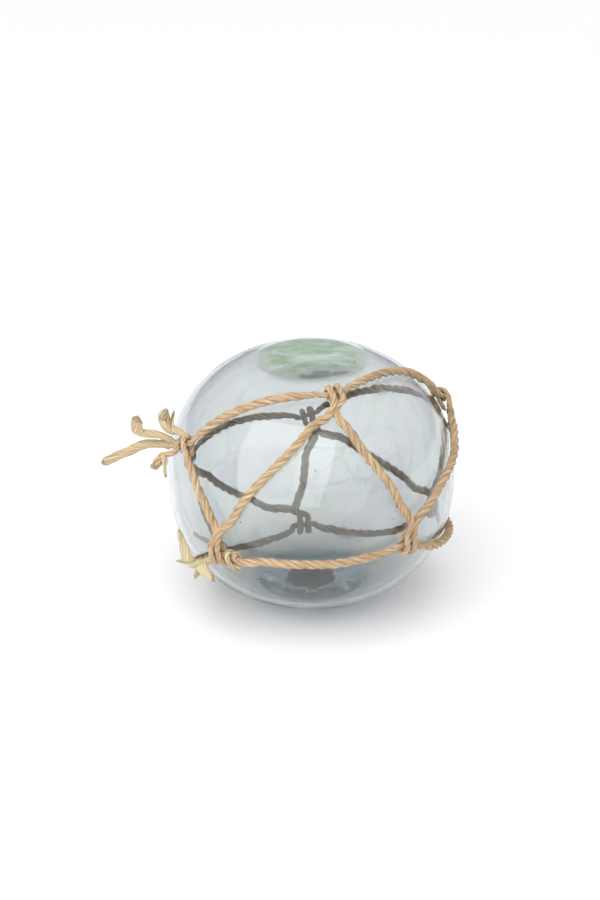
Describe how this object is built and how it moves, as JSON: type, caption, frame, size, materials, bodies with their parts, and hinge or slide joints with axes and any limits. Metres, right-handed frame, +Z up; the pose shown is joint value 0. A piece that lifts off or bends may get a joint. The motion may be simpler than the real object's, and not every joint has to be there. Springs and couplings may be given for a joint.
{
  "type": "glass fishing float in a rope net",
  "caption": "Slightly flattened hollow glass float ball held in a hitched jute rope net, with frayed rope ends; rests on a small flat as an ornament.",
  "frame": {"origin": "middle of the small flat under the glass ball, on the surface it rests on", "axes": "+Z up along the glass ball's own axis, through the flat and the seal button; -Y is the front, the side with the front knot; +X to the right seen from the front, so the rope ends stand out at -X"},
  "size_m": [0.3055, 0.2697, 0.2266],
  "materials": {
    "glass": "clear aqua-grey blown glass, glossy, with streaks, small bubbles and weathered dirt",
    "jute_rope": "golden brown three-strand jute, dry and hairy, frayed at its ends"
  },
  "bodies": {
    "root": {"glass_float": "glass", "upper_ring_cord": "jute_rope", "lower_ring_cord": "jute_rope", "lacing_cord": "jute_rope"}
  },
  "joints": []
}
